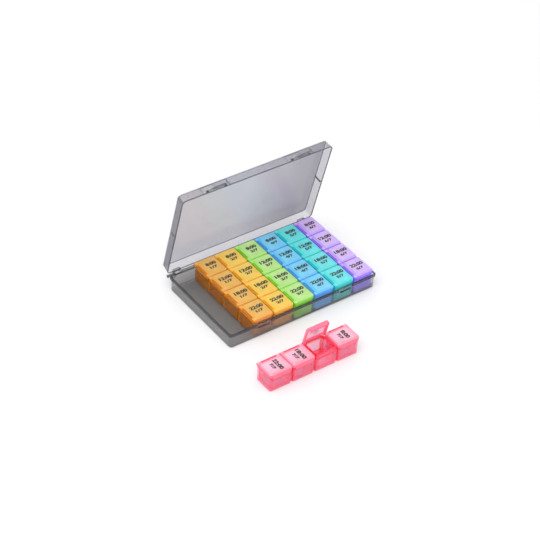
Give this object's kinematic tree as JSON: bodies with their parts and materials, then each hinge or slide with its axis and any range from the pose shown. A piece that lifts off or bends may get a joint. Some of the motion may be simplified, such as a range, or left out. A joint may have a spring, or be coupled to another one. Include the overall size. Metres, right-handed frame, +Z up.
{
  "type": "weekly pill box",
  "caption": "Smoke-grey hinged case with flap latches, holding lift-out day trays with hinged compartment lids; one pink tray stands in front with a lid open.",
  "frame": {"origin": "middle of the base's underside, on the surface it stands on", "axes": "+X to the right along the case's long side, +Y from its front to its hinge, +Z up"},
  "size_m": [0.2293, 0.2423, 0.1709],
  "materials": {
    "smoke_plastic": "glossy, see-through",
    "orange_plastic": "glossy, see-through",
    "yellow_plastic": "glossy, see-through",
    "green_plastic": "glossy, see-through",
    "blue_plastic": "glossy, see-through",
    "teal_plastic": "glossy, see-through",
    "violet_plastic": "glossy, see-through",
    "pink_plastic": "glossy, see-through"
  },
  "bodies": {
    "case_base": {"case_base": "smoke_plastic"},
    "case_lid": {"case_lid": "smoke_plastic"},
    "latch_left": {"latch_left": "smoke_plastic"},
    "latch_right": {"latch_right": "smoke_plastic"},
    "tray_monday": {"tray_monday": "orange_plastic"},
    "lid_monday_bed": {"lid_monday_bed": "orange_plastic"},
    "lid_monday_evening": {"lid_monday_evening": "orange_plastic"},
    "lid_monday_noon": {"lid_monday_noon": "orange_plastic"},
    "lid_monday_morning": {"lid_monday_morning": "orange_plastic"},
    "tray_tuesday": {"tray_tuesday": "yellow_plastic"},
    "lid_tuesday_bed": {"lid_tuesday_bed": "yellow_plastic"},
    "lid_tuesday_evening": {"lid_tuesday_evening": "yellow_plastic"},
    "lid_tuesday_noon": {"lid_tuesday_noon": "yellow_plastic"},
    "lid_tuesday_morning": {"lid_tuesday_morning": "yellow_plastic"},
    "tray_wednesday": {"tray_wednesday": "green_plastic"},
    "lid_wednesday_bed": {"lid_wednesday_bed": "green_plastic"},
    "lid_wednesday_evening": {"lid_wednesday_evening": "green_plastic"},
    "lid_wednesday_noon": {"lid_wednesday_noon": "green_plastic"},
    "lid_wednesday_morning": {"lid_wednesday_morning": "green_plastic"},
    "tray_thursday": {"tray_thursday": "blue_plastic"},
    "lid_thursday_bed": {"lid_thursday_bed": "blue_plastic"},
    "lid_thursday_evening": {"lid_thursday_evening": "blue_plastic"},
    "lid_thursday_noon": {"lid_thursday_noon": "blue_plastic"},
    "lid_thursday_morning": {"lid_thursday_morning": "blue_plastic"},
    "tray_friday": {"tray_friday": "teal_plastic"},
    "lid_friday_bed": {"lid_friday_bed": "teal_plastic"},
    "lid_friday_evening": {"lid_friday_evening": "teal_plastic"},
    "lid_friday_noon": {"lid_friday_noon": "teal_plastic"},
    "lid_friday_morning": {"lid_friday_morning": "teal_plastic"},
    "tray_saturday": {"tray_saturday": "violet_plastic"},
    "lid_saturday_bed": {"lid_saturday_bed": "violet_plastic"},
    "lid_saturday_evening": {"lid_saturday_evening": "violet_plastic"},
    "lid_saturday_noon": {"lid_saturday_noon": "violet_plastic"},
    "lid_saturday_morning": {"lid_saturday_morning": "violet_plastic"},
    "tray_sunday": {"tray_sunday": "pink_plastic"},
    "lid_sunday_bed": {"lid_sunday_bed": "pink_plastic"},
    "lid_sunday_evening": {"lid_sunday_evening": "pink_plastic"},
    "lid_sunday_noon": {"lid_sunday_noon": "pink_plastic"},
    "lid_sunday_morning": {"lid_sunday_morning": "pink_plastic"}
  },
  "joints": [
    {"name": "case_lid_hinge", "type": "hinge", "parent": "case_base", "child": "case_lid", "pos_m": [0, 0.0714, 0.0184], "axis": [-1, 0, 0], "range_deg": [-76, 39]},
    {"name": "latch_left_hinge", "type": "hinge", "parent": "case_lid", "child": "latch_left", "pos_m": [-0.063, 0.0402, 0.15635], "axis": [-1, 0, 0], "range_deg": [-62, 88]},
    {"name": "latch_right_hinge", "type": "hinge", "parent": "case_lid", "child": "latch_right", "pos_m": [0.063, 0.0402, 0.15635], "axis": [-1, 0, 0], "range_deg": [-62, 88]},
    {"name": "tray_monday_lift", "type": "slide", "parent": "case_base", "child": "tray_monday", "axis": [0, 0, 1], "range_m": [0, 0.032]},
    {"name": "lid_monday_bed_hinge", "type": "hinge", "parent": "tray_monday", "child": "lid_monday_bed", "pos_m": [-0.07525, -0.04995, 0.0266], "axis": [0, -1, 0], "range_deg": [0, 105]},
    {"name": "lid_monday_evening_hinge", "type": "hinge", "parent": "tray_monday", "child": "lid_monday_evening", "pos_m": [-0.07525, -0.01665, 0.0266], "axis": [0, -1, 0], "range_deg": [0, 105]},
    {"name": "lid_monday_noon_hinge", "type": "hinge", "parent": "tray_monday", "child": "lid_monday_noon", "pos_m": [-0.07525, 0.01665, 0.0266], "axis": [0, -1, 0], "range_deg": [0, 105]},
    {"name": "lid_monday_morning_hinge", "type": "hinge", "parent": "tray_monday", "child": "lid_monday_morning", "pos_m": [-0.07525, 0.04995, 0.0266], "axis": [0, -1, 0], "range_deg": [0, 105]},
    {"name": "tray_tuesday_lift", "type": "slide", "parent": "case_base", "child": "tray_tuesday", "axis": [0, 0, 1], "range_m": [0, 0.032]},
    {"name": "lid_tuesday_bed_hinge", "type": "hinge", "parent": "tray_tuesday", "child": "lid_tuesday_bed", "pos_m": [-0.04425, -0.04995, 0.0266], "axis": [0, -1, 0], "range_deg": [0, 105]},
    {"name": "lid_tuesday_evening_hinge", "type": "hinge", "parent": "tray_tuesday", "child": "lid_tuesday_evening", "pos_m": [-0.04425, -0.01665, 0.0266], "axis": [0, -1, 0], "range_deg": [0, 105]},
    {"name": "lid_tuesday_noon_hinge", "type": "hinge", "parent": "tray_tuesday", "child": "lid_tuesday_noon", "pos_m": [-0.04425, 0.01665, 0.0266], "axis": [0, -1, 0], "range_deg": [0, 105]},
    {"name": "lid_tuesday_morning_hinge", "type": "hinge", "parent": "tray_tuesday", "child": "lid_tuesday_morning", "pos_m": [-0.04425, 0.04995, 0.0266], "axis": [0, -1, 0], "range_deg": [0, 105]},
    {"name": "tray_wednesday_lift", "type": "slide", "parent": "case_base", "child": "tray_wednesday", "axis": [0, 0, 1], "range_m": [0, 0.032]},
    {"name": "lid_wednesday_bed_hinge", "type": "hinge", "parent": "tray_wednesday", "child": "lid_wednesday_bed", "pos_m": [-0.01325, -0.04995, 0.0266], "axis": [0, -1, 0], "range_deg": [0, 105]},
    {"name": "lid_wednesday_evening_hinge", "type": "hinge", "parent": "tray_wednesday", "child": "lid_wednesday_evening", "pos_m": [-0.01325, -0.01665, 0.0266], "axis": [0, -1, 0], "range_deg": [0, 105]},
    {"name": "lid_wednesday_noon_hinge", "type": "hinge", "parent": "tray_wednesday", "child": "lid_wednesday_noon", "pos_m": [-0.01325, 0.01665, 0.0266], "axis": [0, -1, 0], "range_deg": [0, 105]},
    {"name": "lid_wednesday_morning_hinge", "type": "hinge", "parent": "tray_wednesday", "child": "lid_wednesday_morning", "pos_m": [-0.01325, 0.04995, 0.0266], "axis": [0, -1, 0], "range_deg": [0, 105]},
    {"name": "tray_thursday_lift", "type": "slide", "parent": "case_base", "child": "tray_thursday", "axis": [0, 0, 1], "range_m": [0, 0.032]},
    {"name": "lid_thursday_bed_hinge", "type": "hinge", "parent": "tray_thursday", "child": "lid_thursday_bed", "pos_m": [0.01775, -0.04995, 0.0266], "axis": [0, -1, 0], "range_deg": [0, 105]},
    {"name": "lid_thursday_evening_hinge", "type": "hinge", "parent": "tray_thursday", "child": "lid_thursday_evening", "pos_m": [0.01775, -0.01665, 0.0266], "axis": [0, -1, 0], "range_deg": [0, 105]},
    {"name": "lid_thursday_noon_hinge", "type": "hinge", "parent": "tray_thursday", "child": "lid_thursday_noon", "pos_m": [0.01775, 0.01665, 0.0266], "axis": [0, -1, 0], "range_deg": [0, 105]},
    {"name": "lid_thursday_morning_hinge", "type": "hinge", "parent": "tray_thursday", "child": "lid_thursday_morning", "pos_m": [0.01775, 0.04995, 0.0266], "axis": [0, -1, 0], "range_deg": [0, 105]},
    {"name": "tray_friday_lift", "type": "slide", "parent": "case_base", "child": "tray_friday", "axis": [0, 0, 1], "range_m": [0, 0.032]},
    {"name": "lid_friday_bed_hinge", "type": "hinge", "parent": "tray_friday", "child": "lid_friday_bed", "pos_m": [0.04875, -0.04995, 0.0266], "axis": [0, -1, 0], "range_deg": [0, 105]},
    {"name": "lid_friday_evening_hinge", "type": "hinge", "parent": "tray_friday", "child": "lid_friday_evening", "pos_m": [0.04875, -0.01665, 0.0266], "axis": [0, -1, 0], "range_deg": [0, 105]},
    {"name": "lid_friday_noon_hinge", "type": "hinge", "parent": "tray_friday", "child": "lid_friday_noon", "pos_m": [0.04875, 0.01665, 0.0266], "axis": [0, -1, 0], "range_deg": [0, 105]},
    {"name": "lid_friday_morning_hinge", "type": "hinge", "parent": "tray_friday", "child": "lid_friday_morning", "pos_m": [0.04875, 0.04995, 0.0266], "axis": [0, -1, 0], "range_deg": [0, 105]},
    {"name": "tray_saturday_lift", "type": "slide", "parent": "case_base", "child": "tray_saturday", "axis": [0, 0, 1], "range_m": [0, 0.032]},
    {"name": "lid_saturday_bed_hinge", "type": "hinge", "parent": "tray_saturday", "child": "lid_saturday_bed", "pos_m": [0.07975, -0.04995, 0.0266], "axis": [0, -1, 0], "range_deg": [0, 105]},
    {"name": "lid_saturday_evening_hinge", "type": "hinge", "parent": "tray_saturday", "child": "lid_saturday_evening", "pos_m": [0.07975, -0.01665, 0.0266], "axis": [0, -1, 0], "range_deg": [0, 105]},
    {"name": "lid_saturday_noon_hinge", "type": "hinge", "parent": "tray_saturday", "child": "lid_saturday_noon", "pos_m": [0.07975, 0.01665, 0.0266], "axis": [0, -1, 0], "range_deg": [0, 105]},
    {"name": "lid_saturday_morning_hinge", "type": "hinge", "parent": "tray_saturday", "child": "lid_saturday_morning", "pos_m": [0.07975, 0.04995, 0.0266], "axis": [0, -1, 0], "range_deg": [0, 105]},
    {"name": "tray_sunday_lift", "type": "slide", "parent": "case_base", "child": "tray_sunday", "axis": [0, 0, 1], "range_m": [0, 0.032]},
    {"name": "lid_sunday_bed_hinge", "type": "hinge", "parent": "tray_sunday", "child": "lid_sunday_bed", "pos_m": [-0.09995, -0.12875, 0.0248], "axis": [-1, 0, 0], "range_deg": [0, 105]},
    {"name": "lid_sunday_evening_hinge", "type": "hinge", "parent": "tray_sunday", "child": "lid_sunday_evening", "pos_m": [-0.06665, -0.12875, 0.0248], "axis": [-1, 0, 0], "range_deg": [0, 105]},
    {"name": "lid_sunday_noon_hinge", "type": "hinge", "parent": "tray_sunday", "child": "lid_sunday_noon", "pos_m": [-0.03335, -0.12875, 0.0248], "axis": [-1, 0, 0], "range_deg": [-76, 29]},
    {"name": "lid_sunday_morning_hinge", "type": "hinge", "parent": "tray_sunday", "child": "lid_sunday_morning", "pos_m": [-0.00005, -0.12875, 0.0248], "axis": [-1, 0, 0], "range_deg": [0, 105]}
  ]
}
